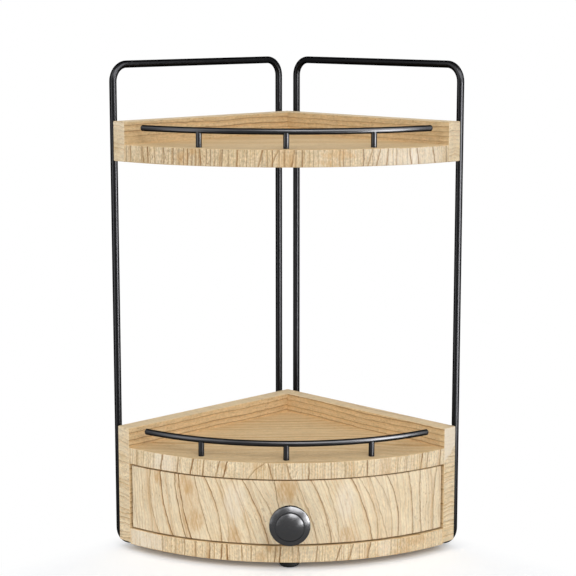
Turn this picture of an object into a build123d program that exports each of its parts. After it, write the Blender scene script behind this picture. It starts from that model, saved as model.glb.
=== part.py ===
from build123d import *
import os
from math import cos, radians, sin, sqrt

# A two-tier corner organizer with a quarter-round plan. Two wooden trays hang between a pair of
# bent rod frames, one frame on each straight side, and the lower tray is a box with a fan-shaped drawer.
# Millimetres, +Z up, the rounded front towards -Y, the right-angled corner towards +Y.

# Plan and boards
SIDE_LENGTH = 200.0          # straight side, from the outer rear corner to the front end
BOARD = 14.0                 # thickness of the carcass boards
EDGE_EASE = 0.8              # rounding of the exposed board edges

# Heights, stacked from the floor
FOOT_HEIGHT = 6.0            # room under the base board
DRAWER_OPENING = 55.5        # clear height of the drawer's bay
LOWER_LIP = 16.5             # side panels above the lower shelf
TIER_CLEARANCE = 238.5       # lower shelf to the underside of the upper one
UPPER_LIP = 18.5             # side panels above the upper shelf
TOP_BAR_RISE = 45.5          # upper panels to the centreline of the frames' top bars
BASE_PANEL_LIFT = 1.5        # base panels' lower edges above the base board's underside

# Rod frames
ROD_DIAMETER = 6.0
ROD_BEND_RADIUS = 14.0       # centreline radius of the four bends
ROD_STANDOFF = 0.2           # rod to panel
ROD_FRONT_SETBACK = 3.2      # panel's front end to the front post's centreline
ROD_REAR_SETBACK = 8.0       # outer rear corner to the rear post's centreline
EAR_REACH = 14.0             # post centreline to the ear's screw
EAR_WIDTH = 12.0
EAR_THICKNESS = 2.0
EAR_END_MARGIN = 18.0        # base panel's upper and lower edge to the ears' screws

# Guard rails
RAIL_DIAMETER = 5.0
RAIL_SETBACK = 10.0          # shelf's front edge to the rail's centreline
RAIL_RISE = 13.5             # shelf's top to the rail's centreline
RAIL_HALF_ANGLE = 38.0       # degrees each side of the middle
RAIL_END_ROUND = 1.0
POST_DIAMETER = 4.8
POST_ANGLE = 21.5            # degrees from the middle post to the outer posts

# Drawer
DRAWER_RECESS = 1.0          # front face behind the edge of the boards
DRAWER_SIDE_GAP = 1.5        # drawer to each side panel
DRAWER_FRONT_GAP = 1.0       # above and below the front
DRAWER_FRONT = 12.0          # thickness of the curved front
DRAWER_SIDE = 8.0            # thickness of the two sides
DRAWER_HEADROOM = 11.5       # sides' upper edges to the lower shelf
DRAWER_BOTTOM = 3.0          # thickness of the bottom panel
DRAWER_HELD = 85.0           # of the plan's depth, behind the boards' front edge when fully out
GROOVE_DEPTH = 3.0
GROOVE_CLEARANCE = 0.15

# Centre guide under the drawer
GUIDE_WIDTH = 12.0
GUIDE_HEIGHT = 3.5
GUIDE_CLEARANCE = 0.4        # guide to the runners, the notch and, at full travel, the stop
GUIDE_FRONT_GAP = 4.0        # drawer front to the guide's front end
GUIDE_STOP_RISE = 3.0        # stop block above the guide
GUIDE_STOP_LENGTH = 10.0
GUIDE_STOP_ROOM = 1.0        # stop block to the drawer's bottom
RUNNER_WIDTH = 8.0
RUNNER_END_GAP = 3.0         # runners to the front and to the sides

# Knob
KNOB_DROP = 4.45             # middle of the drawer's bay to the knob's axis
KNOB_OFFSET = 3.0            # knob's axis to the right of the drawer's middle
KNOB_DIAMETER = 33.0
KNOB_PROJECTION = 27.0
KNOB_FOOT_DIAMETER = 15.0
KNOB_FOOT_LENGTH = 2.0
KNOB_NECK_DIAMETER = 11.0
KNOB_BAND_START = 18.8       # drawer front to the back of the widest band
KNOB_BAND_WIDTH = 3.4
KNOB_BEVEL_WIDTH = 4.3       # rim to the front edge of the bevelled ring
KNOB_BEVEL_BULGE = 0.12
KNOB_GROOVE_WIDTH = 1.2
KNOB_GROOVE_DEPTH = 0.8
KNOB_CROWN = 2.8             # rise of the domed middle
KNOB_EDGE_ROUND = 0.6

# Front foot
FOOT_DIAMETER = 17.0
FOOT_EDGE_ROUND = 3.0
FOOT_SETBACK = 12.5          # base board's front edge to the foot's axis
FOOT_OFFSET = 2.5            # foot's axis to the right of the middle
FOOT_HEAD_BORE = 8.0         # counterbore for the screw's head
FOOT_WEB = 2.2               # rubber left above the counterbore

# Screws: shank and head diameters, lengths
SCREW_CLEARANCE = 0.05       # between a shank and its hole
SCREW_COVER = 4.0            # wood beyond the point of a screw that enters a board's face
PANEL_SCREW = 3.5
PANEL_SCREW_HEAD = 7.0
PANEL_SCREW_GRIP = 21.0      # length inside the board behind the panel
PANEL_SCREW_REAR = 55.0      # outer rear corner to the rear screws
PANEL_SCREW_FRONT = 35.0     # panel's front end to the front screws
BASE_CORNER_SPACING = 30.0   # between the two screws in the corner of the base
UPPER_CORNER_SPACING = 20.0
EAR_SCREW = 3.5
EAR_SCREW_HEAD = 6.8
RAIL_SCREW = 3.0
RAIL_SCREW_HEAD = 5.5
RAIL_SCREW_GRIP = 7.0        # length inside the post
GUIDE_SCREW = 3.0
GUIDE_SCREW_HEAD = 5.6
GUIDE_SCREW_SETBACK = 9.0    # guide's ends to its screws
KNOB_SCREW = 4.0
KNOB_SCREW_HEAD = 9.0
KNOB_SCREW_GRIP = 11.0       # length inside the knob
KNOB_BORE_ROOM = 1.0         # bore beyond the screw's point
PAN_HEAD_HEIGHT = 2.2
RECESS_WIDTH = 0.9           # cross recess in a screw head
RECESS_DEPTH = 1.1
RECESS_SHARE = 0.56          # of the head's diameter

# Levels worked out from the heights
BASE_UNDER = FOOT_HEIGHT
BASE_TOP = BASE_UNDER + BOARD
BASE_PANEL_UNDER = BASE_UNDER + BASE_PANEL_LIFT
LOWER_SHELF_UNDER = BASE_TOP + DRAWER_OPENING
LOWER_SHELF_TOP = LOWER_SHELF_UNDER + BOARD
LOWER_PANEL_TOP = LOWER_SHELF_TOP + LOWER_LIP
UPPER_SHELF_UNDER = LOWER_SHELF_TOP + TIER_CLEARANCE
UPPER_SHELF_TOP = UPPER_SHELF_UNDER + BOARD
UPPER_PANEL_TOP = UPPER_SHELF_TOP + UPPER_LIP
TOP_BAR_LEVEL = UPPER_PANEL_TOP + TOP_BAR_RISE
KNOB_LEVEL = BASE_TOP + DRAWER_OPENING / 2 - KNOB_DROP
DRAWER_SIDE_HEIGHT = DRAWER_OPENING - DRAWER_HEADROOM
DRAWER_BOTTOM_RISE = GUIDE_HEIGHT + GUIDE_STOP_RISE + GUIDE_STOP_ROOM

# Radii about the outer rear corner, and insets from the outer faces of the sides
DRAWER_RADIUS = SIDE_LENGTH - DRAWER_RECESS
DRAWER_INNER_RADIUS = DRAWER_RADIUS - DRAWER_FRONT
DRAWER_INSET = BOARD + DRAWER_SIDE_GAP
DRAWER_INNER_INSET = DRAWER_INSET + DRAWER_SIDE
DRAWER_TRAVEL = SIDE_LENGTH - DRAWER_HELD
RAIL_RADIUS = SIDE_LENGTH - RAIL_SETBACK
POST_ANGLES = (-POST_ANGLE, 0.0, POST_ANGLE)

# The origin is on the floor under the middle of the whole: knob in front, eased corner behind
FRONT_REACH = DRAWER_RADIUS + KNOB_PROJECTION
REAR_REACH = -EDGE_EASE * (sqrt(2) - 1)
CORNER = Pos(0, (FRONT_REACH - REAR_REACH) / 2, 0)

# The left side as a plane: x runs from the rear corner to the front, y up, z outwards
LEFT = Plane((0, 0, 0), x_dir=(-1, -1, 0), z_dir=(-1, 1, 0))


def on_left(shape):
    return LEFT * shape


def on_right(shape):
    return mirror(LEFT * shape, about=Plane.YZ)


def cut(solid, cutters):
    for cutter in cutters:
        solid -= cutter
    return solid


def front_point(radius, angle):
    """A point at this radius, this many degrees right of the middle of the front."""
    return radius * sin(radians(angle)), -radius * cos(radians(angle))


# Screws

def screw_solid(profile):
    return revolve(Plane.XZ * Polygon(*profile, align=None), axis=Axis.Z)


def shank_profile(radius, length):
    """The lower end of a screw's outline, with a point as long as the shank is thick."""
    return [(radius, -length + 2 * radius), (0, -length)]


def cross_recess(head, top):
    bar = Box(RECESS_SHARE * head, RECESS_WIDTH, 2 * RECESS_DEPTH)
    return Pos(0, 0, top) * (bar + Rot(0, 0, 90) * bar)


def countersunk_form(radius, rim, length):
    """A 90 degree head flush with z = 0 and a shank downwards."""
    return screw_solid([(0, 0), (rim, 0), (radius, radius - rim)] + shank_profile(radius, length))


def countersunk_hole(shank, head, length):
    return countersunk_form(shank / 2 + SCREW_CLEARANCE, head / 2 + SCREW_CLEARANCE, length)


def countersunk_screw(shank, head, length):
    return countersunk_form(shank / 2, head / 2, length) - cross_recess(head, 0)


def pan_hole(shank, length):
    radius = shank / 2 + SCREW_CLEARANCE
    return screw_solid([(0, 0), (radius, 0)] + shank_profile(radius, length))


def pan_screw(shank, head, length):
    """Head standing on z = 0, shank downwards."""
    radius = shank / 2
    rim = head / 2
    head_profile = [(0, PAN_HEAD_HEIGHT), (rim, PAN_HEAD_HEIGHT), (rim, 0), (radius, 0)]
    body = screw_solid(head_profile + shank_profile(radius, length))
    crown = body.edges().group_by(Axis.Z)[-1]
    return fillet(crown, PAN_HEAD_HEIGHT / 2) - cross_recess(head, PAN_HEAD_HEIGHT)


FACE_BITE = BOARD - SCREW_COVER
PANEL_SCREW_SIZE = (PANEL_SCREW, PANEL_SCREW_HEAD, BOARD + PANEL_SCREW_GRIP)
EAR_SCREW_SIZE = (EAR_SCREW, EAR_SCREW_HEAD, EAR_THICKNESS + FACE_BITE)
RAIL_SCREW_SIZE = (RAIL_SCREW, RAIL_SCREW_HEAD, BOARD + RAIL_SCREW_GRIP)
GUIDE_SCREW_SIZE = (GUIDE_SCREW, GUIDE_SCREW_HEAD, GUIDE_HEIGHT + FACE_BITE)
FOOT_SCREW_LENGTH = FOOT_WEB + FACE_BITE

# Where the screws stand on a side: distance from the rear corner, and height

def board_screw_places(under):
    level = under + BOARD / 2
    return [(PANEL_SCREW_REAR, level), (SIDE_LENGTH - PANEL_SCREW_FRONT, level)]


def corner_screw_places(under, top, spacing):
    middle = (under + top) / 2
    return [(BOARD / 2, middle - spacing / 2), (BOARD / 2, middle + spacing / 2)]


REAR_POST = ROD_REAR_SETBACK
FRONT_POST = SIDE_LENGTH - ROD_FRONT_SETBACK
EAR_LEVELS = (BASE_PANEL_UNDER + EAR_END_MARGIN, LOWER_PANEL_TOP - EAR_END_MARGIN,
              (UPPER_SHELF_UNDER + UPPER_PANEL_TOP) / 2)
EAR_SCREW_PLACES = [(along, level) for level in EAR_LEVELS
                    for along in (REAR_POST + EAR_REACH, FRONT_POST - EAR_REACH)]
BASE_BOARD_SCREWS = board_screw_places(BASE_UNDER) + board_screw_places(LOWER_SHELF_UNDER)
BASE_CORNER_SCREWS = corner_screw_places(BASE_PANEL_UNDER, LOWER_PANEL_TOP, BASE_CORNER_SPACING)
UPPER_BOARD_SCREWS = board_screw_places(UPPER_SHELF_UNDER)
UPPER_CORNER_SCREWS = corner_screw_places(UPPER_SHELF_UNDER, UPPER_PANEL_TOP, UPPER_CORNER_SPACING)


def placed(shape, places, out=0.0):
    """Copies of a screw or a hole on the side plane, standing out from the panel's face."""
    return [Pos(along, level, out) * shape for along, level in places]


# Boards

def side_panel(start, under, top, screw_places):
    """A straight side, in the side plane, from its rear end to the front."""
    block = Box(SIDE_LENGTH - start, top - under, BOARD, align=(Align.MIN, Align.MIN, Align.MAX))
    panel = Pos(start, under, 0) * block
    free_edges = panel.edges()
    if start > 0:
        free_edges = free_edges.filter_by_position(Axis.X, start + EDGE_EASE, SIDE_LENGTH)
    panel = fillet(free_edges, EDGE_EASE)
    panel = cut(panel, placed(countersunk_hole(*PANEL_SCREW_SIZE), screw_places))
    return cut(panel, placed(pan_hole(EAR_SCREW, FACE_BITE), EAR_SCREW_PLACES))


def fan_plan(radius, inset):
    """A quarter-round outline whose straight sides lie inset from the outer faces."""
    apex = -inset * sqrt(2)
    wedge = Polygon((0, apex), (-radius, apex - radius), (radius, apex - radius), align=None)
    return wedge & Circle(radius)


def fan_board(under, thickness, radius, inset):
    return Pos(0, 0, under) * extrude(fan_plan(radius, inset), thickness)


def carcass_board(under):
    """A shelf or the base board, screwed through both sides, with its curved edge eased."""
    board = fan_board(under, BOARD, SIDE_LENGTH, BOARD)
    board = fillet(board.edges().filter_by(GeomType.CIRCLE), EDGE_EASE)
    holes = placed(countersunk_hole(*PANEL_SCREW_SIZE), board_screw_places(under))
    return cut(board, [on_left(hole) for hole in holes] + [on_right(hole) for hole in holes])


def rail_screw_places(under):
    return [Pos(*front_point(RAIL_RADIUS, angle), under) * Rot(180, 0, 0) for angle in POST_ANGLES]


def shelf(under):
    """A carcass board with the three holes for the guard rail's screws."""
    holes = [place * countersunk_hole(*RAIL_SCREW_SIZE) for place in rail_screw_places(under)]
    return cut(carcass_board(under), holes)


# Rod frames, each one closed loop with six welded ears

def frame_ear(post, along, level):
    """A flat ear from the post to the rounded end round its screw."""
    strap = Pos((post + along) / 2, level) * Rectangle(abs(along - post), EAR_WIDTH)
    outline = strap + Pos(along, level) * Circle(EAR_WIDTH / 2)
    outline -= Pos(along, level) * Circle(EAR_SCREW / 2 + SCREW_CLEARANCE)
    return extrude(outline, EAR_THICKNESS)


def rod_frame():
    width = FRONT_POST - REAR_POST
    low = ROD_DIAMETER / 2
    middle = Pos((FRONT_POST + REAR_POST) / 2, (TOP_BAR_LEVEL + low) / 2, ROD_DIAMETER / 2 + ROD_STANDOFF)
    loop = middle * RectangleRounded(width, TOP_BAR_LEVEL - low, ROD_BEND_RADIUS).wire()
    section = Plane(loop @ 0, z_dir=loop % 0) * Circle(ROD_DIAMETER / 2)
    frame = sweep(section, path=loop)
    for along, level in EAR_SCREW_PLACES:
        post = REAR_POST if along < SIDE_LENGTH / 2 else FRONT_POST
        frame += frame_ear(post, along, level)
    return frame


# Guard rails

def guard_rail(shelf_top):
    start = 270.0 - RAIL_HALF_ANGLE
    path = Pos(0, 0, shelf_top + RAIL_RISE) * CenterArc((0, 0), RAIL_RADIUS, start, 2 * RAIL_HALF_ANGLE)
    rail = sweep(Plane(path @ 0, z_dir=path % 0) * Circle(RAIL_DIAMETER / 2), path=path)
    ends = rail.faces().filter_by(GeomType.PLANE).edges()
    return fillet(ends, RAIL_END_ROUND)


def rail_posts(shelf_top, rail):
    """Three posts standing on the shelf, coped to the rail, bored for the screws from below."""
    posts = []
    for angle in POST_ANGLES:
        foot = Pos(*front_point(RAIL_RADIUS, angle), shelf_top)
        post = foot * Cylinder(POST_DIAMETER / 2, RAIL_RISE, align=(Align.CENTER, Align.CENTER, Align.MIN))
        posts.append(post - rail)
    holes = [place * countersunk_hole(*RAIL_SCREW_SIZE) for place in rail_screw_places(shelf_top - BOARD)]
    return [post - hole for post, hole in zip(posts, holes)]


# Drawer: its wedge has no parallel sides to run on, so a guide on the middle line keeps it straight

DRAWER_APEX = -DRAWER_INNER_INSET * sqrt(2)
RUNNER_INNER = GUIDE_WIDTH / 2 + GUIDE_CLEARANCE
RUNNER_OUTER = RUNNER_INNER + RUNNER_WIDTH
RUNNER_REAR = DRAWER_APEX - RUNNER_OUTER - RUNNER_END_GAP
RUNNER_FRONT = -sqrt(DRAWER_INNER_RADIUS ** 2 - RUNNER_OUTER ** 2) + RUNNER_END_GAP
GUIDE_FRONT = -DRAWER_INNER_RADIUS + GUIDE_FRONT_GAP
GUIDE_REAR = RUNNER_REAR
STOP_REAR = DRAWER_APEX - GUIDE_WIDTH / 2 - DRAWER_TRAVEL - GUIDE_CLEARANCE


def floor_bar(left, right, front, rear, height):
    """A bar lying on the base board, given by its edges."""
    return Pos(left, front, BASE_TOP) * Box(right - left, rear - front, height, align=Align.MIN)


def drawer_groove():
    """The slot that holds the bottom panel, cut into the front and both sides."""
    return fan_board(BASE_TOP + DRAWER_BOTTOM_RISE, DRAWER_BOTTOM + GROOVE_CLEARANCE,
                     DRAWER_INNER_RADIUS + GROOVE_DEPTH, DRAWER_INNER_INSET - GROOVE_DEPTH)


def drawer_front():
    plan = fan_plan(DRAWER_RADIUS, DRAWER_INSET) - Circle(DRAWER_INNER_RADIUS)
    under = BASE_TOP + DRAWER_FRONT_GAP
    front = Pos(0, 0, under) * extrude(plan, DRAWER_OPENING - 2 * DRAWER_FRONT_GAP)
    face = front.faces().filter_by(GeomType.CYLINDER).sort_by(Axis.Y)[0]
    front = fillet(face.edges(), EDGE_EASE)
    bore = Pos(KNOB_OFFSET, -DRAWER_RADIUS, KNOB_LEVEL) * Rot(90, 0, 0) * Cylinder(
        KNOB_SCREW / 2 + SCREW_CLEARANCE, 4 * DRAWER_FRONT)
    return front - drawer_groove() - bore


def drawer_side(start):
    """A thin side, cut at the front to the curve of the drawer's front and notched over the guide."""
    block = Box(SIDE_LENGTH, DRAWER_SIDE_HEIGHT, DRAWER_SIDE, align=(Align.MIN, Align.MIN, Align.MAX))
    block = fillet(block.edges().filter_by(Axis.X).group_by(Axis.Y)[-1], EDGE_EASE)
    strip = on_left(Pos(start, BASE_TOP, -DRAWER_INSET) * block)
    bay = Pos(0, 0, BASE_TOP) * Cylinder(
        DRAWER_INNER_RADIUS, DRAWER_SIDE_HEIGHT, align=(Align.CENTER, Align.CENTER, Align.MIN))
    notch = floor_bar(-RUNNER_INNER, RUNNER_INNER, GUIDE_REAR, 0, GUIDE_HEIGHT + GUIDE_CLEARANCE)
    return (strip & bay) - drawer_groove() - notch


def drawer_bottom():
    return fan_board(BASE_TOP + DRAWER_BOTTOM_RISE, DRAWER_BOTTOM,
                     DRAWER_INNER_RADIUS + GROOVE_DEPTH - GROOVE_CLEARANCE,
                     DRAWER_INNER_INSET - GROOVE_DEPTH + GROOVE_CLEARANCE)


# Centre guide: a strip with a stop block on the base board, and two runners under the drawer

def guide_screw_places():
    level = BASE_TOP + GUIDE_HEIGHT
    return [Pos(0, y, level) for y in (GUIDE_FRONT + GUIDE_SCREW_SETBACK, GUIDE_REAR - GUIDE_SCREW_SETBACK)]


def guide_screw_holes():
    return [place * countersunk_hole(*GUIDE_SCREW_SIZE) for place in guide_screw_places()]


def drawer_guide():
    half = GUIDE_WIDTH / 2
    strip = floor_bar(-half, half, GUIDE_FRONT, GUIDE_REAR, GUIDE_HEIGHT)
    stop = floor_bar(-half, half, STOP_REAR - GUIDE_STOP_LENGTH, STOP_REAR, GUIDE_HEIGHT + GUIDE_STOP_RISE)
    return cut(strip + stop, guide_screw_holes())


def drawer_runners():
    runner = floor_bar(RUNNER_INNER, RUNNER_OUTER, RUNNER_FRONT, RUNNER_REAR, DRAWER_BOTTOM_RISE)
    return [mirror(runner, about=Plane.YZ), runner]


# Knob, turned about its axis: x is the radius, y the distance from the drawer's front

def drawer_knob():
    rim = KNOB_DIAMETER / 2
    foot = KNOB_FOOT_DIAMETER / 2
    neck = KNOB_NECK_DIAMETER / 2
    ring = rim - KNOB_BEVEL_WIDTH
    disc = ring - KNOB_GROOVE_WIDTH
    band_end = KNOB_BAND_START + KNOB_BAND_WIDTH
    ring_level = KNOB_PROJECTION - KNOB_CROWN
    groove_level = ring_level - KNOB_GROOVE_DEPTH
    dome_radius = (disc ** 2 + KNOB_CROWN ** 2) / (2 * KNOB_CROWN)
    outline = Curve() + [
        Line((0, 0), (foot, 0)),
        Line((foot, 0), (foot, KNOB_FOOT_LENGTH)),
        Bezier((foot, KNOB_FOOT_LENGTH), (neck, KNOB_FOOT_LENGTH),
               (neck, KNOB_BAND_START), (rim, KNOB_BAND_START)),
        Line((rim, KNOB_BAND_START), (rim, band_end)),
        SagittaArc((rim, band_end), (ring, ring_level), -KNOB_BEVEL_BULGE),
        Line((ring, ring_level), (ring, groove_level)),
        Line((ring, groove_level), (disc, groove_level)),
        Line((disc, groove_level), (disc, ring_level)),
        RadiusArc((disc, ring_level), (0, KNOB_PROJECTION), -dome_radius),
        Line((0, KNOB_PROJECTION), (0, 0)),
    ]
    profile = make_face(outline)
    rim_corners = [corner for corner in profile.vertices() if corner.X > rim - KNOB_EDGE_ROUND]
    turned = revolve(fillet(rim_corners, KNOB_EDGE_ROUND), axis=Axis.Y)
    bore_depth = KNOB_SCREW_GRIP + KNOB_BORE_ROOM
    bore = Rot(90, 0, 0) * Cylinder(KNOB_SCREW / 2 + SCREW_CLEARANCE, 2 * bore_depth)
    return Pos(KNOB_OFFSET, -DRAWER_RADIUS, KNOB_LEVEL) * Rot(0, 0, 180) * (turned - bore)


def knob_screw():
    """Through the drawer's front from inside; the head bears on the hollow curve at its outer edge."""
    outer_edge = KNOB_OFFSET + KNOB_SCREW_HEAD / 2
    seat = -sqrt(DRAWER_INNER_RADIUS ** 2 - outer_edge ** 2)
    length = DRAWER_RADIUS + seat + KNOB_SCREW_GRIP
    screw = pan_screw(KNOB_SCREW, KNOB_SCREW_HEAD, length)
    return Pos(KNOB_OFFSET, seat, KNOB_LEVEL) * Rot(-90, 0, 0) * screw


# Front foot

FOOT_PLACE = Pos(FOOT_OFFSET, -SIDE_LENGTH + FOOT_SETBACK, 0)
FOOT_SEAT = FOOT_HEIGHT - FOOT_WEB
FOOT_SCREW_PLACE = FOOT_PLACE * Pos(0, 0, FOOT_SEAT) * Rot(180, 0, 0)


def front_foot():
    pad = Cylinder(FOOT_DIAMETER / 2, FOOT_HEIGHT, align=(Align.CENTER, Align.CENTER, Align.MIN))
    pad = fillet(pad.edges().group_by(Axis.Z)[0], FOOT_EDGE_ROUND)
    pad -= Cylinder(FOOT_HEAD_BORE / 2, 2 * FOOT_SEAT)
    pad -= Cylinder(EAR_SCREW / 2 + SCREW_CLEARANCE, 4 * FOOT_HEIGHT)
    return FOOT_PLACE * pad


def base_board():
    foot_hole = FOOT_SCREW_PLACE * pan_hole(EAR_SCREW, FOOT_SCREW_LENGTH)
    return cut(carcass_board(BASE_UNDER), guide_screw_holes() + [foot_hole])


# All the nodes, as lists of solids

panel_screw = countersunk_screw(*PANEL_SCREW_SIZE)
ear_screws = placed(pan_screw(*EAR_SCREW_SIZE), EAR_SCREW_PLACES, EAR_THICKNESS)
rail_screw = countersunk_screw(*RAIL_SCREW_SIZE)
guide_screw = countersunk_screw(*GUIDE_SCREW_SIZE)
frame_loop = rod_frame()
upper_rail = guard_rail(UPPER_SHELF_TOP)
lower_rail = guard_rail(LOWER_SHELF_TOP)
left_base_screws = placed(panel_screw, BASE_BOARD_SCREWS + BASE_CORNER_SCREWS)
right_base_screws = placed(panel_screw, BASE_BOARD_SCREWS)
left_upper_screws = placed(panel_screw, UPPER_BOARD_SCREWS + UPPER_CORNER_SCREWS)
right_upper_screws = placed(panel_screw, UPPER_BOARD_SCREWS)


def left_panel(under, top, board_screws, corner_screws):
    """The full-length side, through which the corner screws enter the other side's end."""
    return on_left(side_panel(0, under, top, board_screws + corner_screws))


def right_panel(under, top, board_screws, corner_screws):
    """The shorter side, which butts against the inner face of the full-length one."""
    panel = on_right(side_panel(BOARD, under, top, board_screws))
    holes = placed(countersunk_hole(*PANEL_SCREW_SIZE), corner_screws)
    return cut(panel, [on_left(hole) for hole in holes])


NODES = {
    "left_frame": [on_left(frame_loop)],
    "right_frame": [on_right(frame_loop)],
    "left_frame_screws": [on_left(screw) for screw in ear_screws],
    "right_frame_screws": [on_right(screw) for screw in ear_screws],
    "upper_shelf": [shelf(UPPER_SHELF_UNDER)],
    "upper_left_panel": [
        left_panel(UPPER_SHELF_UNDER, UPPER_PANEL_TOP, UPPER_BOARD_SCREWS, UPPER_CORNER_SCREWS)],
    "upper_right_panel": [
        right_panel(UPPER_SHELF_UNDER, UPPER_PANEL_TOP, UPPER_BOARD_SCREWS, UPPER_CORNER_SCREWS)],
    "upper_panel_screws": [on_left(screw) for screw in left_upper_screws]
                          + [on_right(screw) for screw in right_upper_screws],
    "upper_guard_rail": [upper_rail],
    "upper_rail_posts": rail_posts(UPPER_SHELF_TOP, upper_rail),
    "upper_rail_screws": [place * rail_screw for place in rail_screw_places(UPPER_SHELF_UNDER)],
    "lower_shelf": [shelf(LOWER_SHELF_UNDER)],
    "base_board": [base_board()],
    "base_left_panel": [
        left_panel(BASE_PANEL_UNDER, LOWER_PANEL_TOP, BASE_BOARD_SCREWS, BASE_CORNER_SCREWS)],
    "base_right_panel": [
        right_panel(BASE_PANEL_UNDER, LOWER_PANEL_TOP, BASE_BOARD_SCREWS, BASE_CORNER_SCREWS)],
    "base_panel_screws": [on_left(screw) for screw in left_base_screws]
                         + [on_right(screw) for screw in right_base_screws],
    "lower_guard_rail": [lower_rail],
    "lower_rail_posts": rail_posts(LOWER_SHELF_TOP, lower_rail),
    "lower_rail_screws": [place * rail_screw for place in rail_screw_places(LOWER_SHELF_UNDER)],
    "front_foot": [front_foot()],
    "front_foot_screw": [FOOT_SCREW_PLACE * pan_screw(EAR_SCREW, EAR_SCREW_HEAD, FOOT_SCREW_LENGTH)],
    "drawer_guide": [drawer_guide()],
    "drawer_guide_screws": [place * guide_screw for place in guide_screw_places()],
    "drawer_front": [drawer_front()],
    "drawer_left_side": [drawer_side(DRAWER_INSET)],
    "drawer_right_side": [mirror(drawer_side(DRAWER_INNER_INSET), about=Plane.YZ)],
    "drawer_bottom": [drawer_bottom()],
    "drawer_runners": drawer_runners(),
    "drawer_knob": [drawer_knob()],
    "knob_screw": [knob_screw()],
}

os.makedirs("parts", exist_ok=True)
for name, shapes in NODES.items():
    solids = [solid for shape in shapes for solid in (CORNER * shape).solids()]
    export_step(solids[0] if len(solids) == 1 else Compound(solids), f"parts/{name}.step")
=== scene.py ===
from dataclasses import dataclass, replace
from math import cos, radians, sin, sqrt

import bpy
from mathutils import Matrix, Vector


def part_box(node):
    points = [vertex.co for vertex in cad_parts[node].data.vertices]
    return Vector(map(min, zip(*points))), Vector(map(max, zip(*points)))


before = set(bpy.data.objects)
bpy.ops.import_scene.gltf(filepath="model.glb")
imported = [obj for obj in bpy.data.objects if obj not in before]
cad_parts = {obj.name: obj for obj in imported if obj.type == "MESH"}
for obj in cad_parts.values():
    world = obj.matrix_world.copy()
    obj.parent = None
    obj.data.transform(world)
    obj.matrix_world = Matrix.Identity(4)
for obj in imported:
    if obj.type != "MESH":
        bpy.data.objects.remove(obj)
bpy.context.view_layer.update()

# A corner organizer: pale striped wood trays between satin black rods, on a white studio floor.
# Lengths in the finishes are millimetres, as on the real boards; the scene itself is in metres.

MILLIMETRES = 1000.0             # in a metre

# The plan's corner and radius, and the drawer's height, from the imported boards
CORNER_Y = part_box("base_left_panel")[1].y
CORNER = CORNER_Y * MILLIMETRES
FRONT_RADIUS = (CORNER_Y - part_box("lower_shelf")[0].y) * MILLIMETRES
DRAWER_UNDER, DRAWER_TOP = (corner.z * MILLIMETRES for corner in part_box("drawer_front"))
DRAWER_MIDDLE = (DRAWER_UNDER + DRAWER_TOP) / 2
DRAWER_HEIGHT = DRAWER_TOP - DRAWER_UNDER
DIAGONAL = sqrt(0.5)             # cosine of 45 degrees, the angle at which the straight sides run


def srgb(red, green, blue):
    """A colour as seen on a screen, 0 to 255, as linear light."""
    shares = [channel / 255 for channel in (red, green, blue)]
    linear = [((s + 0.055) / 1.055) ** 2.4 if s > 0.04045 else s / 12.92 for s in shares]
    return (*linear, 1.0)


# Colours of the wood
PALE = srgb(243, 232, 214)
STRAW = srgb(238, 222, 191)
HONEY = srgb(224, 200, 158)
OCHRE = srgb(198, 154, 98)
UMBER = srgb(118, 82, 44)
PORE = srgb(142, 100, 58)


# Building blocks for the finishes

class Term:
    """A number in a finish: arithmetic on it adds math nodes."""

    def __init__(self, finish, socket):
        self.finish = finish
        self.socket = socket

    def __add__(self, other):
        return self.finish.math("ADD", self, other)

    def __sub__(self, other):
        return self.finish.math("SUBTRACT", self, other)

    def __mul__(self, other):
        return self.finish.math("MULTIPLY", self, other)

    def __truediv__(self, other):
        return self.finish.math("DIVIDE", self, other)

    def __rsub__(self, other):
        return self.finish.math("SUBTRACT", other, self)

    def __pow__(self, other):
        return self.finish.math("POWER", self, other)

    __radd__ = __add__


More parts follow.
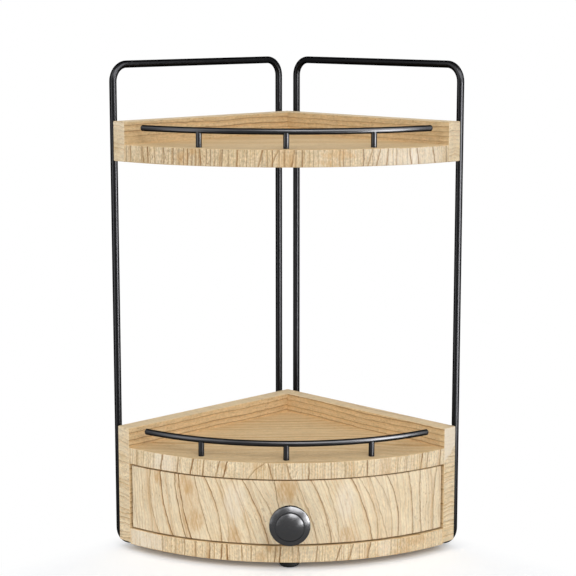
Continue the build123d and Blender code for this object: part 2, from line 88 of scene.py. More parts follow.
class Finish:
    """The nodes of a material, or of the world, under construction."""

    def __init__(self, owner):
        self.owner = owner
        owner.use_nodes = True
        self.tree = owner.node_tree
        self.tree.nodes.clear()

    def plug(self, socket, value):
        """Sets a socket to a fixed value, or links it to another node."""
        if isinstance(value, Term):
            value = value.socket
        if isinstance(value, bpy.types.NodeSocket):
            self.tree.links.new(value, socket)
        else:
            socket.default_value = value

    def node(self, kind, inputs=None, **settings):
        """Adds a node of this kind."""
        made = self.tree.nodes.new(kind)
        for name, value in settings.items():
            setattr(made, name, value)
        for name, value in (inputs or {}).items():
            self.plug(made.inputs[name], value)
        return made

    def math(self, operation, *values):
        inputs = dict(enumerate(values))
        return Term(self, self.node("ShaderNodeMath", inputs, operation=operation).outputs[0])

    def floor(self, value):
        """Rounded down to a whole number."""
        return self.math("FLOOR", value)

    def size(self, value):
        """Without its sign."""
        return self.math("ABSOLUTE", value)

    def step(self, value, start, end):
        """0 below start, 1 above end, smooth between them."""
        inputs = {"Value": value, "From Min": start, "From Max": end}
        made = self.node("ShaderNodeMapRange", inputs, interpolation_type="SMOOTHSTEP")
        return Term(self, made.outputs["Result"])

    def place(self):
        """Where a spot is on the object, in millimetres."""
        at = self.node("ShaderNodeTexCoord").outputs["Object"]
        parts = self.node("ShaderNodeSeparateXYZ", {0: at}).outputs
        return [Term(self, part) * MILLIMETRES for part in parts]

    def facing(self):
        """Which way the surface faces, rounded edges included."""
        normal = self.node("ShaderNodeNewGeometry").outputs["Normal"]
        return [Term(self, part) for part in self.node("ShaderNodeSeparateXYZ", {0: normal}).outputs]

    def front_arc(self, x, y):
        """Distance along the curved front from its middle, to the right."""
        angle = self.math("ARCTAN2", x, CORNER - y)
        return angle * FRONT_RADIUS

    def noise(self, across, along, depth=0.0, detail=2.0, roughness=0.5):
        """Soft noise from about -1 to 1, one bump per unit."""
        at = self.node("ShaderNodeCombineXYZ", {0: across, 1: along, 2: depth}).outputs[0]
        inputs = {"Vector": at, "Scale": 1.0, "Detail": detail, "Roughness": roughness}
        return Term(self, self.node("ShaderNodeTexNoise", inputs).outputs[0]) * 2.0 - 1.0

    def layer(self, noise, across, along, seed):
        """A layer of noise on a face."""
        return self.noise(across / noise.across, along / noise.along, seed + noise.offset, noise.detail,
                          noise.roughness)

    def solid_noise(self, bump, detail, roughness=0.5):
        """Noise right through a piece, with bumps of this size in millimetres."""
        x, y, z = self.place()
        return self.noise(x / bump, y / bump, z / bump, detail, roughness)

    def random(self, number):
        """A number from 0 to 1 that changes with each whole number."""
        made = self.node("ShaderNodeTexWhiteNoise", {"W": number}, noise_dimensions="1D")
        return Term(self, made.outputs["Value"])

    def mix(self, share, first, second):
        """Between two colours."""
        made = self.node("ShaderNodeMix", {0: share, 6: first, 7: second}, data_type="RGBA")
        return made.outputs[2]

    def blend(self, share, first, second):
        """Between two numbers."""
        return Term(self, self.node("ShaderNodeMix", {0: share, 2: first, 3: second}).outputs[0])

    def tone(self, colour, factor):
        """The colour made lighter or darker."""
        inputs = {"Color": colour, "Value": factor}
        return self.node("ShaderNodeHueSaturation", inputs).outputs[0]

    def close(self, surface):
        """Gives the material its surface."""
        self.node("ShaderNodeOutputMaterial", {"Surface": surface})
        return self.owner

    def principled(self, inputs, height, bump):
        """Gives the material its surface, with a relief whose depth is in metres."""
        shader = self.node("ShaderNodeBsdfPrincipled", inputs)
        relief = self.node("ShaderNodeBump", {"Strength": 1.0, "Distance": bump, "Height": height})
        self.plug(shader.inputs["Normal"], relief.outputs[0])
        return self.close(shader.outputs[0])


def new_finish(name):
    """A finish for a new material."""
    return Finish(bpy.data.materials.new(name))


# Wood

@dataclass
class Grain:
    """How one face of a board is striped; lengths in millimetres."""
    spacing: float = 9.0         # between the main growth rings
    wander: float = 0.9          # how uneven their spacing is, in rings
    sway: float = 3.5            # how far the lines wave sideways
    sway_length: float = 34.0    # over which distance along the line
    ripple: float = 0.5          # small waves in the lines
    line: float = 0.8            # darkness of the lines
    stroke: float = 0.16         # width of the lines, as a share of the rings' spacing
    band: float = 0.5            # darkness of the soft band before each line
    fine: float = 0.5            # darkness of the fine lines between them
    honey: float = 0.4           # share of the deeper ground colour
    blotch: float = 22.0         # size of the clouds in the ground colour
    pores: float = 0.5           # darkness of the pores
    speckle: float = 0.12        # unevenness of the finest grain
    warm: float = 0.0            # how far the whole face is stained towards ochre
    shade: float = 1.0           # brightness of the whole face
    seed: float = 0.0


@dataclass
class Streak:
    """One strong growth line on a curved edge: millimetres to the right of the middle."""
    top: float
    foot: float
    dark: float
    bow: float = 0.0             # how far it bulges to the right half way down
    band: float = 1.8            # width of the soft band on its left


@dataclass
class Patch:
    """A tan cloud on a curved edge, or a pale one if its shade is negative; millimetres from the middle."""
    right: float
    up: float
    half_width: float
    half_height: float
    shade: float


@dataclass
class Noise:
    """A layer of noise: the size of its bumps across and along the grain, in millimetres."""
    across: float
    along: float
    offset: float                # keeps it apart from the other layers
    detail: float = 2.0
    roughness: float = 0.5
    shows: tuple = (-1.0, 1.0)   # the values between which what it stands for sets in


RIPPLE = Noise(across=6.0, along=9.0, offset=3.1)
FIBRE = Noise(across=1.6, along=12.0, offset=11.3, detail=3.0, roughness=0.7)
MOTTLE = Noise(across=2.2, along=5.0, offset=15.1, detail=3.0, roughness=0.6, shows=(-0.2, 0.8))
SPECK = Noise(across=1.2, along=3.6, offset=23.1, detail=1.0, shows=(0.2, 0.4))
DUST = Noise(across=1.4, along=2.3, offset=33.7, detail=1.0, roughness=0.6)
PORE_FIELD = Noise(across=26.0, along=26.0, offset=29.3, shows=(-0.2, 0.4))
SWAY_BREADTH = 1.6               # how far neighbouring lines sway together, for each unit of sway length
WANDER_RINGS = 3.2               # rings from a wide stretch to a narrow one
WANDER_OFFSET = 7.7
CLOUD_STRETCH = 1.5              # length of the clouds for each unit of their breadth
CLOUD_OFFSET = 19.9
CLOUD_SHOWS = (-0.7, 0.7)

# Where a ring's band and line, and the fine lines, set in and end, as shares of the way to the next one
BAND_START = 0.2
BAND_FULL = 0.98
LINE_FULL = 0.95
LINE_END = 0.955
FINE_START = 0.55
FINE_FULL = 0.85
FINE_SPACING = 0.27              # of the fine lines, as a share of the rings' spacing
FINE_WANDER = 2.0                # how uneven that is, in fine lines
FINE_OFFSET = 50.5

# How far each layer stains the wood, changes its brightness or stands out in its relief
MOTTLE_STAIN = 0.28
PORE_STAIN = 0.65
FIBRE_TONE = 0.33
MOTTLE_TONE = 0.05
MEAN_TONE = 0.99
FIBRE_RELIEF = 0.35
LINE_RELIEF = 0.6
PORE_RELIEF = 0.8


def striped(f, across, along, grain):
    """Growth rings across a face: its colour and its relief."""
    seed = grain.seed
    length = grain.sway_length
    sway = f.layer(Noise(SWAY_BREADTH * length, length, offset=0.0, detail=1.0), across, along, seed)
    ripple = f.layer(RIPPLE, across, along, seed)
    phase = across + sway * grain.sway + ripple * grain.ripple
    wander = f.noise(phase / (WANDER_RINGS * grain.spacing), seed + WANDER_OFFSET, detail=1.0)
    count = phase / grain.spacing + wander * grain.wander
    ring = f.floor(count)
    within = count - ring
    strength = f.random(ring + seed)
    ending = 1.0 - f.step(within, LINE_END, 1.0)
    band = f.step(within, BAND_START, BAND_FULL) * ending * strength
    line = f.step(within, 1.0 - grain.stroke, LINE_FULL) * ending * strength

    fine_count = phase / (grain.spacing * FINE_SPACING) + wander * FINE_WANDER
    fine_ring = f.floor(fine_count)
    fine_within = fine_count - fine_ring
    fine_strength = f.random(fine_ring + seed + FINE_OFFSET)
    fine_ending = 1.0 - f.step(fine_within, FINE_FULL, 1.0)
    fine = f.step(fine_within, FINE_START, FINE_FULL) * fine_ending * fine_strength

    fibre = f.layer(FIBRE, phase, along, seed)
    mottle = f.layer(MOTTLE, phase, along, seed)
    clouds = Noise(grain.blotch, CLOUD_STRETCH * grain.blotch, CLOUD_OFFSET, detail=3.0)
    cloud = f.layer(clouds, phase, along, seed)
    speck = f.layer(SPECK, phase, along, seed)
    dust = f.layer(DUST, phase, along, seed)
    porous = f.step(f.layer(PORE_FIELD, phase, along, seed), *PORE_FIELD.shows)
    pore = f.step(speck, *SPECK.shows) * porous * grain.pores

    ground = f.mix(f.step(cloud + (grain.honey * 2.0 - 1.0), *CLOUD_SHOWS), STRAW, HONEY)
    tinted = f.mix(f.step(mottle, *MOTTLE.shows) * MOTTLE_STAIN + grain.warm, ground, OCHRE)
    tinted = f.mix(fine * grain.fine, tinted, OCHRE)
    tinted = f.mix(band * grain.band, tinted, OCHRE)
    tinted = f.mix(line * grain.line, tinted, UMBER)
    tinted = f.mix(pore * PORE_STAIN, tinted, PORE)
    tone = fibre * FIBRE_TONE + mottle * MOTTLE_TONE + dust * grain.speckle + MEAN_TONE
    relief = fibre * FIBRE_RELIEF - line * LINE_RELIEF - pore * PORE_RELIEF
    return f.tone(tinted, tone * grain.shade), relief


STREAK_RIPPLE = Noise(across=7.0, along=11.0, offset=41.0, detail=4.0, roughness=0.6)
UNEVEN = Noise(across=9.0, along=11.0, offset=43.0)
FRAYED = Noise(across=1.8, along=9.0, offset=47.0, detail=3.0, roughness=0.65, shows=(-0.7, 0.45))

# How far these push the clouds and the streaks about, in millimetres
PATCH_RIPPLE = 3.0
PATCH_UNEVEN = 5.0
PATCH_FRAY = 4.0
STREAK_SWAY = 1.5

PATCH_RIM = (0.1, 1.3)           # where a cloud fades, in squared shares of its half width and height
STREAK_FULL = -0.15              # where a streak is darkest, to the right of its place
STREAK_END = 0.5                 # where it has faded out
VIGOUR = 0.9                     # strength of the streaks, and how far it changes along them
UNEVEN_VIGOUR = 0.5
FRAYED_VIGOUR = 0.3
BAND_STAIN = 0.85
STREAK_STAIN = 0.95
STREAK_RELIEF = 0.5


def drawn(f, plain, arc, rise, height, streaks, patches, stroke, seed):
    """Adds a board's own figure to a curved edge: clouds first, then its strong growth lines."""
    colour, relief = plain
    ripple = f.layer(STREAK_RIPPLE, arc, rise, seed)
    uneven = f.layer(UNEVEN, arc, rise, seed)
    frayed = f.layer(FRAYED, arc, rise, seed)
    for patch in patches:
        right = (arc + ripple * PATCH_RIPPLE - patch.right) / patch.half_width
        up = (rise + uneven * PATCH_UNEVEN + frayed * PATCH_FRAY - patch.up) / patch.half_height
        cover = 1.0 - f.step(right * right + up * up, *PATCH_RIM)
        target = OCHRE if patch.shade > 0 else PALE
        colour = f.mix(cover * f.step(frayed, *FRAYED.shows) * abs(patch.shade), colour, target)

    level = rise / (height / 2)
    swayed = arc + ripple * STREAK_SWAY
    band = line = 0.0
    for streak in streaks:
        middle = (streak.top + streak.foot) / 2 + streak.bow
        lean = (streak.top - streak.foot) / 2
        beyond = swayed - (level * (level * -streak.bow + lean) + middle)
        ending = 1.0 - f.step(beyond, 0.0, STREAK_END)
        band = band + f.step(beyond, -streak.band, 0.0) * ending * streak.dark
        line = line + f.step(beyond, -stroke, STREAK_FULL) * ending * streak.dark
    vigour = uneven * UNEVEN_VIGOUR + frayed * FRAYED_VIGOUR + VIGOUR
    colour = f.mix(f.math("MINIMUM", band * vigour * BAND_STAIN, 1.0), colour, OCHRE)
    colour = f.mix(f.math("MINIMUM", line * vigour * STREAK_STAIN, 1.0), colour, UMBER)
    return colour, relief - line * STREAK_RELIEF


# Where a face turns from one kind into another, as cosines of its tilt
OUTWARD = (0.3, 0.75)
FLAT = (0.45, 0.75)
AT_END = (0.5, 0.8)
ON_TOP = (0.4, 0.8)


def wooden(f, colour, relief):
    """Closes a wooden finish: a matt lacquer that is smoother on the hard lines."""
    inputs = {"Base Color": colour, "Roughness": relief * 0.06 + 0.6, "Specular IOR Level": 0.06}
    return f.principled(inputs, relief, bump=0.00012)


DRAWER_GRAIN = Grain(spacing=11.0, sway=4.0, line=0.16, band=0.25, honey=0.3, pores=0.6, seed=2.4)
DRAWER_STREAKS = (
    Streak(top=-143.0, foot=-133.5, bow=-2.5, dark=0.28, band=1.0),
    Streak(top=-120.0, foot=-111.0, bow=-4.5, dark=0.5, band=7.0),
    Streak(top=-109.5, foot=-97.5, bow=-3.0, dark=0.99, band=3.5),
    Streak(top=-96.0, foot=-85.0, bow=-2.0, dark=0.88, band=1.5),
    Streak(top=-92.0, foot=-80.0, bow=-2.0, dark=1.0, band=2.5),
    Streak(top=-77.5, foot=-62.5, bow=-1.0, dark=0.55),
    Streak(top=-68.5, foot=-54.0, bow=4.0, dark=0.72, band=3.0),
    Streak(top=-58.5, foot=-47.0, bow=3.0, dark=0.31),
    Streak(top=-51.5, foot=-41.0, bow=3.0, dark=0.18),
    Streak(top=-45.0, foot=-29.0, bow=2.5, dark=0.31, band=3.0),
    Streak(top=-36.0, foot=-14.0, bow=2.5, dark=0.7, band=2.5),
    Streak(top=-27.5, foot=-5.0, bow=4.0, dark=0.4),
    Streak(top=-9.5, foot=4.0, bow=-2.0, dark=0.7, band=0.6),
    Streak(top=8.5, foot=26.0, bow=1.5, dark=0.44, band=2.5),
    Streak(top=20.5, foot=37.0, bow=3.5, dark=0.57, band=3.0),
    Streak(top=31.5, foot=43.5, bow=3.0, dark=0.35),
    Streak(top=38.5, foot=50.0, bow=2.5, dark=0.18),
    Streak(top=54.5, foot=73.0, bow=2.0, dark=0.75, band=3.0),
    Streak(top=60.5, foot=77.0, bow=5.5, dark=0.44),
    Streak(top=74.5, foot=90.0, bow=6.0, dark=0.35),
    Streak(top=70.0, foot=86.5, bow=0.5, dark=0.31),
    Streak(top=85.5, foot=96.0, bow=4.5, dark=0.7),
    Streak(top=106.0, foot=111.0, bow=1.5, dark=0.66, band=3.0),
    Streak(top=118.0, foot=120.0, bow=-1.0, dark=0.66, band=2.5),
    Streak(top=136.5, foot=133.0, bow=-2.0, dark=0.57, band=3.5),
)
DRAWER_PATCHES = (
    Patch(right=-113.0, up=22.0, half_width=5.0, half_height=8.0, shade=0.8),
    Patch(right=-85.0, up=19.0, half_width=8.0, half_height=11.0, shade=0.7),
    Patch(right=-80.0, up=0.0, half_width=11.0, half_height=26.0, shade=0.45),
    Patch(right=-77.0, up=-10.0, half_width=8.0, half_height=10.0, shade=0.6),
    Patch(right=-42.0, up=-21.0, half_width=7.0, half_height=10.0, shade=0.65),
    Patch(right=-43.0, up=8.0, half_width=10.0, half_height=18.0, shade=-0.6),
    Patch(right=0.0, up=19.0, half_width=10.0, half_height=13.0, shade=0.8),
    Patch(right=50.0, up=-21.0, half_width=8.0, half_height=9.0, shade=0.6),
    Patch(right=49.0, up=7.0, half_width=9.0, half_height=18.0, shade=-0.7),
)
DRAWER_STROKE = 1.0              # width of the strong lines
EDGE_STROKE = 1.5
LEAN = 0.38                      # sideways run of the drawer's fine lines for each millimetre down
LEAN_MIDDLE = -5.0               # where along the front they lean most
LEAN_SPREAD = 95.0               # how far to each side they straighten up
GAP_PAINTED_SHADE = 0.5                  # share of umber painted on the drawer front's faces that don't look outward, as shade in the gaps


def drawer_finish():
    """The drawer's front: leaning lines, its own streaks and clouds, and painted shade on its faces in the
    gaps.
    """
    f = new_finish("drawer_front_wood")
    x, y, z = f.place()
    arc = f.front_arc(x, y)
    rise = z - DRAWER_MIDDLE
    offset = (arc - LEAN_MIDDLE) / LEAN_SPREAD
    lean = f.math("EXPONENT", offset * offset * -1.0) * LEAN
    plain = striped(f, lean * rise + arc, z, DRAWER_GRAIN)
    colour, relief = drawn(f, plain, arc, rise, DRAWER_HEIGHT, DRAWER_STREAKS, DRAWER_PATCHES,
                           DRAWER_STROKE, DRAWER_GRAIN.seed)
    normal = f.facing()
    outward = (normal[0] * x + normal[1] * (y - CORNER)) / FRONT_RADIUS
    # Painted shade: the faces in the gaps round the front, which don't look outward, are darkened with
    # umber
    painted_gap_shade = 1.0 - f.step(outward, *OUTWARD)
    return wooden(f, f.mix(painted_gap_shade * GAP_PAINTED_SHADE, colour, UMBER), relief)


# The curved edges of the three boards

UPPER_STREAKS = (
    Streak(top=-136.0, foot=-135.5, dark=0.5, band=5.0),
    Streak(top=-123.0, foot=-122.0, dark=0.8),
    Streak(top=-118.0, foot=-117.0, dark=0.9),
    Streak(top=-103.0, foot=-103.5, dark=0.4),
    Streak(top=-94.0, foot=-94.0, dark=0.5),
    Streak(top=-80.0, foot=-80.0, dark=0.5),
    Streak(top=-73.0, foot=-73.0, dark=0.7),
    Streak(top=-69.0, foot=-68.5, dark=0.8),
    Streak(top=-52.5, foot=-52.5, dark=0.5),
    Streak(top=-38.0, foot=-39.0, dark=0.7),
    Streak(top=-18.0, foot=-22.0, dark=0.7),
    Streak(top=-6.0, foot=-11.5, dark=0.55, band=3.0),
    Streak(top=7.0, foot=4.5, dark=0.65, band=4.0),
    Streak(top=14.5, foot=13.5, dark=0.4),
    Streak(top=70.0, foot=65.5, dark=0.5),
    Streak(top=76.5, foot=73.5, dark=0.65),
    Streak(top=83.5, foot=82.0, dark=0.65),
    Streak(top=90.5, foot=91.0, dark=0.5),
    Streak(top=103.0, foot=105.0, dark=0.8),
    Streak(top=110.0, foot=112.0, dark=0.75),
    Streak(top=125.5, foot=128.5, dark=0.7),
)
UPPER_PATCHES = (
    Patch(right=-85.0, up=-2.0, half_width=6.0, half_height=6.0, shade=0.6),
    Patch(right=-76.0, up=5.0, half_width=4.0, half_height=4.0, shade=0.6),
    Patch(right=0.0, up=-2.0, half_width=9.0, half_height=12.0, shade=0.45),
    Patch(right=42.0, up=3.0, half_width=16.0, half_height=4.0, shade=0.6),
    Patch(right=34.0, up=-4.0, half_width=12.0, half_height=3.0, shade=0.45),
    # A broad pale stretch at the right end: paler wood there, and painted light from the right
    Patch(right=104.0, up=0.0, half_width=38.0, half_height=30.0, shade=-0.55),
    Patch(right=108.0, up=0.0, half_width=4.0, half_height=14.0, shade=-0.9),
)
LOWER_STREAKS = (
    Streak(top=-134.0, foot=-134.0, dark=0.5),
    Streak(top=-116.0, foot=-116.0, dark=0.3),
    Streak(top=-106.5, foot=-108.5, dark=0.8),
    Streak(top=-91.0, foot=-93.0, dark=0.6),
    Streak(top=-77.5, foot=-80.5, dark=0.9),
    Streak(top=-67.5, foot=-69.5, dark=0.75),
    Streak(top=-54.5, foot=-58.0, dark=0.65),
    Streak(top=-48.0, foot=-51.5, dark=0.85),
    Streak(top=-17.0, foot=-31.0, bow=-1.5, dark=0.5, band=3.0),
    Streak(top=-14.0, foot=-10.5, dark=0.65),
    Streak(top=0.5, foot=4.0, dark=0.6, band=3.0),
    Streak(top=18.5, foot=18.5, dark=0.7),
    Streak(top=37.0, foot=37.0, dark=0.55),
    Streak(top=48.5, foot=48.5, dark=0.45),
    Streak(top=67.5, foot=67.0, dark=0.7),
    Streak(top=95.0, foot=95.0, dark=0.35),
    Streak(top=103.5, foot=103.0, dark=0.35),
    Streak(top=119.5, foot=117.5, dark=0.8),
    Streak(top=125.5, foot=123.5, dark=0.6),
    Streak(top=139.5, foot=138.5, dark=0.65, band=4.0),
)
LOWER_PATCHES = (
    Patch(right=-105.0, up=0.0, half_width=14.0, half_height=14.0, shade=-0.6),
    Patch(right=-51.0, up=5.0, half_width=4.0, half_height=4.0, shade=0.6),
    Patch(right=-23.0, up=4.0, half_width=8.0, half_height=5.0, shade=0.4),
    Patch(right=83.0, up=0.0, half_width=6.5, half_height=14.0, shade=0.45),
)
BASE_STREAKS = (
    Streak(top=-107.5, foot=-107.5, dark=0.45),
    Streak(top=-95.0, foot=-95.0, dark=0.4),
    Streak(top=-86.0, foot=-86.0, dark=0.5),
    Streak(top=-76.0, foot=-76.0, dark=0.6, band=4.0),
    Streak(top=-63.5, foot=-63.5, dark=0.75, band=5.0),
    Streak(top=-53.0, foot=-53.5, dark=0.9),
    Streak(top=-48.5, foot=-48.0, dark=0.9),
    Streak(top=-36.0, foot=-35.5, dark=0.5),
    Streak(top=-28.5, foot=-28.0, dark=0.5),
    Streak(top=-15.0, foot=-15.0, dark=0.4),
    Streak(top=-8.5, foot=-9.0, dark=0.7),
    Streak(top=-4.5, foot=-5.0, dark=0.8),
    Streak(top=5.5, foot=5.5, dark=0.4),
    Streak(top=10.5, foot=10.5, dark=0.5),
    Streak(top=26.0, foot=24.0, dark=0.6),
    Streak(top=45.5, foot=41.0, dark=0.7),
    Streak(top=56.0, foot=51.5, dark=0.6, band=3.0),
    Streak(top=71.0, foot=68.0, dark=0.75, band=5.0),
    Streak(top=89.5, foot=89.5, dark=0.3),
)
BASE_PATCHES = (
    Patch(right=-126.0, up=0.0, half_width=22.0, half_height=16.0, shade=-0.8),
    Patch(right=-12.0, up=5.0, half_width=6.0, half_height=4.0, shade=0.7),
    Patch(right=-21.0, up=-2.0, half_width=5.0, half_height=7.0, shade=0.5),
    Patch(right=83.0, up=0.0, half_width=7.0, half_height=14.0, shade=-0.5),
    Patch(right=110.0, up=3.0, half_width=18.0, half_height=4.0, shade=0.55),
    Patch(right=100.0, up=-4.0, half_width=12.0, half_height=3.0, shade=0.4),
)
EDGE_GRAIN = Grain(spacing=8.0, wander=1.2, sway=2.0, sway_length=26.0, line=0.2, band=0.25, fine=0.85,
                   honey=0.4, blotch=16.0, pores=0.65, speckle=0.36)
UPPER_EDGE_GRAIN = replace(EDGE_GRAIN, spacing=4.4, line=0.8, stroke=0.34, band=0.3, fine=1.0,
                           honey=0.5, pores=1.0, speckle=0.45, shade=0.86)
LOWER_EDGE_GRAIN = replace(EDGE_GRAIN, shade=0.96)
TOP_GRAIN = Grain(spacing=10.0, wander=1.1, sway=20.0, sway_length=120.0, ripple=0.8, line=0.6,
                  band=0.7, honey=0.9, blotch=30.0, pores=0.4, warm=0.15)
TOP_SEED = 40.0                  # added for the faces, so that they differ from the edge


def board_finish(name, edge_grain, streaks, patches, seed):
    """A shelf: lines from side to side on its faces, upright ones round its curved edge."""
    f = new_finish(name + "_wood")
    x, y, z = f.place()
    arc = f.front_arc(x, y)
    under, top = (corner.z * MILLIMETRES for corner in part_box(name))
    rise = z - (under + top) / 2
    edge = striped(f, arc, z, replace(edge_grain, seed=seed))
    edge = drawn(f, edge, arc, rise, top - under, streaks, patches, EDGE_STROKE, seed)
    face = striped(f, y, x, replace(TOP_GRAIN, seed=seed + TOP_SEED))
    flat = f.step(f.size(f.facing()[2]), *FLAT)
    return wooden(f, f.mix(flat, edge[0], face[0]), f.blend(flat, edge[1], face[1]))


PANEL_GRAIN = Grain(spacing=4.2, wander=1.0, sway=2.6, sway_length=75.0, ripple=0.6, line=0.65,
                    stroke=0.28, band=0.55, honey=0.85, blotch=24.0, pores=0.8, speckle=0.22, warm=0.16)
END_GRAIN = Grain(spacing=3.4, wander=1.0, sway=3.0, sway_length=14.0, ripple=0.9, line=0.5,
                  band=0.5, honey=0.45, blotch=12.0, pores=0.7, speckle=0.24)
PALE_BLOCK = 17.0                # height of the pale wood at the top of a panel's front end
PALE_SLANT = 0.8                 # how much lower it comes for each millimetre towards the inner face
BLOCK_RIM = Noise(across=5.0, along=6.0, offset=0.0)
BLOCK_UNEVEN = 3.0               # how far its lower rim goes up and down
BLOCK_FADE = 1.5                 # half the height over which it fades
TOP_PAINTED_LIGHT = 0.4                  # how much paler the panels' upper edges are painted, as light from above
END_SEED = 17.0                  # added for the ends, so that they differ from the faces
PANEL_SLOPE = 0.2                # rise of the rings for each millimetre through a panel


@dataclass
class Panel:
    """One straight side of a tray."""
    name: str
    side: float                  # 1 on the right, -1 on the left
    shade: float                 # brightness of the whole panel
    pale: float                  # strength of the pale block at the top of its front end
    seed: float


PANELS = (
    Panel("upper_left_panel", side=-1.0, shade=0.92, pale=0.1, seed=31.7),
    Panel("upper_right_panel", side=1.0, shade=0.92, pale=0.1, seed=37.8),
    Panel("base_left_panel", side=-1.0, shade=1.0, pale=0.1, seed=43.9),
    Panel("base_right_panel", side=1.0, shade=1.0, pale=0.7, seed=50.0),
)


def panel_finish(panel):
    """A straight side: lines along its length, and paler wavy ones on its ends."""
    f = new_finish(panel.name + "_wood")
    x, y, z = f.place()
    along = (x * panel.side + y * -1.0) * DIAGONAL
    through = (x * panel.side + y) * DIAGONAL
    face_grain = replace(PANEL_GRAIN, shade=panel.shade, seed=panel.seed)
    end_grain = replace(END_GRAIN, shade=panel.shade, seed=panel.seed + END_SEED)
    face = striped(f, z + through * PANEL_SLOPE, along, face_grain)
    end = striped(f, z, through, end_grain)
    normal = f.facing()
    frontal = (normal[0] * panel.side - normal[1]) * DIAGONAL
    at_end = f.step(f.size(frontal), *AT_END)
    on_top = f.step(normal[2], *ON_TOP)
    below_top = z * -1.0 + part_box(panel.name)[1].z * MILLIMETRES
    depth = through * -1.0 + CORNER * DIAGONAL
    rim = f.layer(BLOCK_RIM, z, through, panel.seed) * BLOCK_UNEVEN
    past_block = below_top - depth * PALE_SLANT + rim
    in_block = f.step(past_block, PALE_BLOCK + BLOCK_FADE, PALE_BLOCK - BLOCK_FADE)
    bright_end = f.mix(in_block * panel.pale, end[0], PALE)
    # Painted light: the faces that look up are made paler towards straw
    colour = f.mix(at_end, f.mix(on_top * TOP_PAINTED_LIGHT, face[0], STRAW), bright_end)
    return wooden(f, colour, f.blend(at_end, face[1], end[1]))


INNER_GRAIN = Grain(spacing=7.0, wander=0.8, sway=3.0, sway_length=120.0, line=0.35, band=0.35,
                    honey=0.3, blotch=40.0, pores=0.2, seed=91.0)
INNER_SLOPE = 0.6                # sideways run of the rings for each millimetre up


def inner_finish():
    """The plainer wood of the drawer's sides, bottom, runners and guide."""
    f = new_finish("drawer_inner_wood")
    x, y, z = f.place()
    return wooden(f, *striped(f, x + z * INNER_SLOPE, y, INNER_GRAIN))


# Metal and rubber

DARK_EDGE = (0.2, 0.2, 0.2, 1.0)  # keeps the black steel dark where it is seen edge on


def black_metal_finish(name, dark, pale):
    """Satin black steel: slight waves in the coat, a little paler where it is rubbed."""
    f = new_finish(name)
    waves = f.solid_noise(bump=8.0, detail=1.0)
    rubbed = f.step(f.solid_noise(bump=22.0, detail=2.0), 0.0, 0.8)
    colour = f.mix(rubbed * 0.5, dark, pale)
    inputs = {"Base Color": colour, "Metallic": 1.0, "Specular Tint": DARK_EDGE,
              "Roughness": rubbed * 0.04 + 0.29}
    return f.principled(inputs, waves, bump=0.000005)


def knob_finish():
    """Black enamel on the turned knob, a little paler and glossier than the rods."""
    f = new_finish("black_enamel")
    peel = f.solid_noise(bump=1.6, detail=2.0)
    worn = f.step(f.solid_noise(bump=7.0, detail=4.0, roughness=0.6), 0.1, 0.8)
    colour = f.mix(worn * 0.5, srgb(61, 61, 62), srgb(71, 71, 72))
    inputs = {"Base Color": colour, "Metallic": 1.0, "Specular Tint": DARK_EDGE,
              "Roughness": worn * 0.05 + 0.25}
    return f.principled(inputs, peel, bump=0.00001)


def rubber_finish():
    """The gritty black rubber of the foot."""
    f = new_finish("black_rubber")
    grit = f.solid_noise(bump=0.4, detail=3.0)
    colour = f.mix(f.step(grit, -0.5, 0.9), srgb(16, 16, 16), srgb(30, 30, 29))
    inputs = {"Base Color": colour, "Roughness": grit * 0.08 + 0.62, "Specular IOR Level": 0.15}
    return f.principled(inputs, grit, bump=0.00004)


def zinc_finish():
    """The spangled zinc of the screws in the wood."""
    f = new_finish("zinc_steel")
    spangle = f.solid_noise(bump=1.1, detail=3.0)
    colour = f.mix(f.step(spangle, -0.6, 0.6), srgb(176, 178, 182), srgb(206, 207, 209))
    inputs = {"Base Color": colour, "Metallic": 1.0, "Roughness": spangle * 0.08 + 0.34}
    return f.principled(inputs, spangle, bump=0.00001)


def dress(node_names, material):
    """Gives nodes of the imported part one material."""
    for name in node_names:
        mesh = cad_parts[name].data
        mesh.materials.clear()
        mesh.materials.append(material)


# Which pieces have which finish

dress(["drawer_front"], drawer_finish())
dress(["upper_shelf"],
      board_finish("upper_shelf", UPPER_EDGE_GRAIN, UPPER_STREAKS, UPPER_PATCHES, seed=5.3))
dress(["lower_shelf"],
      board_finish("lower_shelf", LOWER_EDGE_GRAIN, LOWER_STREAKS, LOWER_PATCHES, seed=14.2))
dress(["base_board"], board_finish("base_board", EDGE_GRAIN, BASE_STREAKS, BASE_PATCHES, seed=23.1))
for panel in PANELS:
    dress([panel.name], panel_finish(panel))
dress(["drawer_left_side", "drawer_right_side", "drawer_bottom", "drawer_runners", "drawer_guide"],
      inner_finish())
dress(["left_frame", "right_frame", "left_frame_screws", "right_frame_screws"],
      black_metal_finish("frame_black", srgb(25, 25, 26), srgb(32, 32, 33)))
dress(["upper_guard_rail", "upper_rail_posts", "lower_guard_rail", "lower_rail_posts"],
      black_metal_finish("rail_black", srgb(39, 39, 40), srgb(49, 49, 50)))
dress(["drawer_knob"], knob_finish())
dress(["front_foot"], rubber_finish())
dress(["upper_panel_screws", "upper_rail_screws", "base_panel_screws", "lower_rail_screws",
       "front_foot_screw", "drawer_guide_screws", "knob_screw"], zinc_finish())


# Studio

FLOOR_HALF = 9.0                 # metres
FLOOR_COLOUR = (0.86, 0.86, 0.86, 1.0)    # for the light that it throws back
FLOOR_SEEN = (1.15, 1.18, 1.22, 1.0)      # when looked at: white where no shadow falls
FRONT_SHADOW = (0.32, 0.45)      # metres from the plan's corner, where the shadow fades into plain white
SIDE_SHADOW = (-0.02, 0.03)      # metres out from the straight sides
DEEPEST_PAINTED_GLOW = 0.08                   # share of plain white glow painted into the deepest shadow, lightening it
WHITE = (1.0, 1.0, 1.0, 1.0)
AMBIENT = 0.55                   # even light from all round
MIDDLE = Vector((0.0, 0.0, 0.2))  # of the object


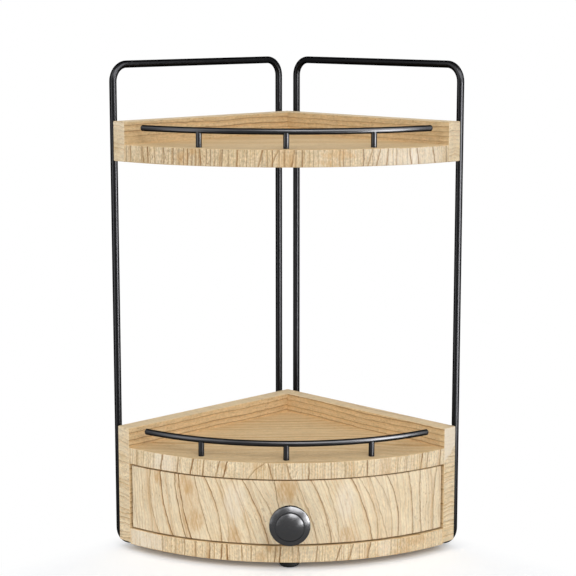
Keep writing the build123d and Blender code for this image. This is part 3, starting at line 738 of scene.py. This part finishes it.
def looked_at(f):
    """1 where a ray comes straight or by reflection from the eye, 0 where it gathers soft light."""
    path = f.node("ShaderNodeLightPath").outputs
    eye = f.math("MAXIMUM", path["Is Camera Ray"], path["Is Glossy Ray"])
    return f.math("MAXIMUM", eye, path["Is Transmission Ray"])


def add_floor():
    """A wide white floor that keeps the object's shadow, lightened by a little painted white glow."""
    mesh = bpy.data.meshes.new("floor")
    corners = [(x * FLOOR_HALF, y * FLOOR_HALF, 0.0) for x, y in ((-1, -1), (1, -1), (1, 1), (-1, 1))]
    mesh.from_pydata(corners, [], [(0, 1, 2, 3)])
    floor = bpy.data.objects.new("floor", mesh)
    bpy.context.scene.collection.objects.link(floor)
    f = new_finish("floor")
    seen = looked_at(f)
    x, y = (part / MILLIMETRES for part in f.place()[:2])
    back = y - CORNER_Y
    ahead = f.step((x * x + back * back) ** 0.5, *FRONT_SHADOW)
    beside = f.step((f.size(x) + back) * DIAGONAL, *SIDE_SHADOW)
    away = f.math("MAXIMUM", f.math("MAXIMUM", ahead, beside), DEEPEST_PAINTED_GLOW)
    matt = f.node("ShaderNodeBsdfDiffuse", {"Color": f.mix(seen, FLOOR_COLOUR, FLOOR_SEEN)}).outputs[0]
    # Painted light: a white glow laid over the shadow where it fades out, and a little of it even in the
    # deepest shadow
    plain = f.node("ShaderNodeEmission", {"Color": WHITE}).outputs[0]
    mixed = f.node("ShaderNodeMixShader", {0: away * seen, 1: matt, 2: plain}).outputs[0]
    mesh.materials.append(f.close(mixed))


def add_world():
    """White all round to look at, dimmer as a light."""
    world = bpy.data.worlds.new("studio")
    bpy.context.scene.world = world
    f = Finish(world)
    strength = f.blend(looked_at(f), AMBIENT, 1.0)
    light = f.node("ShaderNodeBackground", {"Color": WHITE, "Strength": strength}).outputs[0]
    f.node("ShaderNodeOutputWorld", {"Surface": light})


def around(azimuth, elevation, distance):
    """A place round the object, by degrees to the right of the front and degrees up."""
    turn, lift = radians(azimuth), radians(elevation)
    return MIDDLE + distance * Vector((sin(turn) * cos(lift), -cos(turn) * cos(lift), sin(lift)))


def add_lamp(name, place, aim, size, power, lights_all=False):
    """A bright pane; one that doesn't light all is seen by reflections alone."""
    data = bpy.data.lights.new(name, "AREA")
    data.shape = "RECTANGLE"
    data.size, data.size_y = size
    data.energy = power
    lamp = bpy.data.objects.new(name, data)
    bpy.context.scene.collection.objects.link(lamp)
    lamp.location = place
    lamp.rotation_euler = (Vector(aim) - Vector(place)).to_track_quat("-Z", "Y").to_euler()
    lamp.visible_camera = False
    lamp.visible_diffuse = lights_all


@dataclass
class Pane:
    """A lamp's direction from the object in degrees, its size in metres and its power in watts."""
    name: str
    azimuth: float
    elevation: float
    size: tuple
    power: float


SOFT_BOXES = (
    Pane("key", azimuth=20.0, elevation=34.0, size=(1.5, 1.5), power=32.0),
    Pane("fill", azimuth=-45.0, elevation=30.0, size=(1.5, 1.5), power=15.0),
)
STRIPS = (
    Pane("right_strip", azimuth=54.0, elevation=2.0, size=(0.2, 0.44), power=14.0),
    Pane("left_strip", azimuth=-56.0, elevation=2.0, size=(0.2, 0.44), power=2.2),
)
WINDOWS = (
    Pane("right_window", azimuth=45.0, elevation=37.0, size=(1.3, 0.8), power=43.0),
    Pane("front_window", azimuth=5.0, elevation=40.0, size=(0.16, 0.85), power=9.5),
    Pane("middle_window", azimuth=-8.0, elevation=46.0, size=(0.4, 0.6), power=6.8),
    Pane("left_window", azimuth=-60.0, elevation=37.0, size=(1.0, 0.8), power=10.0),
)
SOFT_BOX_DISTANCE = 3.0          # metres
STRIP_DISTANCE = 0.55
WINDOW_DISTANCE = 1.2
KNOB = Vector((0.003, -0.105, 0.04))
LOW_CARD = Vector((0.218, -0.318, 0.062))  # to the right of the knob, for its highlight
LOW_CARD_SIZE = (0.1, 0.1)
LOW_CARD_POWER = 0.3             # watts


def add_lamps():
    """Two soft boxes light the object, and panes that only the metal mirrors give it its highlights."""
    for box in SOFT_BOXES:
        place = around(box.azimuth, box.elevation, SOFT_BOX_DISTANCE)
        add_lamp(box.name, place, MIDDLE, box.size, box.power, lights_all=True)
    for strip in STRIPS:
        place = around(strip.azimuth, strip.elevation, STRIP_DISTANCE)
        add_lamp(strip.name, place, (0.0, 0.0, place.z), strip.size, strip.power)
    for window in WINDOWS:
        place = around(window.azimuth, window.elevation, WINDOW_DISTANCE)
        add_lamp(window.name, place, MIDDLE, window.size, window.power)
    add_lamp("low_card", LOW_CARD, KNOB, LOW_CARD_SIZE, LOW_CARD_POWER)


SENSOR = 36.0                    # millimetres, as the lens is
LENS = 108.16
CAMERA_PLACE = (0.009, -1.4395, 0.4541)
LOOKING_DOWN = 9.303             # degrees below level
TURNED_LEFT = 0.32               # degrees


def add_camera():
    """The photograph's view: a long lens, a little higher than the object, looking slightly down."""
    data = bpy.data.cameras.new("camera")
    data.sensor_width = SENSOR
    data.lens = LENS
    camera = bpy.data.objects.new("camera", data)
    camera.location = CAMERA_PLACE
    camera.rotation_euler = (radians(90.0 - LOOKING_DOWN), 0.0, radians(TURNED_LEFT))
    bpy.context.scene.collection.objects.link(camera)
    bpy.context.scene.camera = camera


add_floor()
add_world()
add_lamps()
add_camera()
bpy.context.scene.view_settings.view_transform = "Standard"
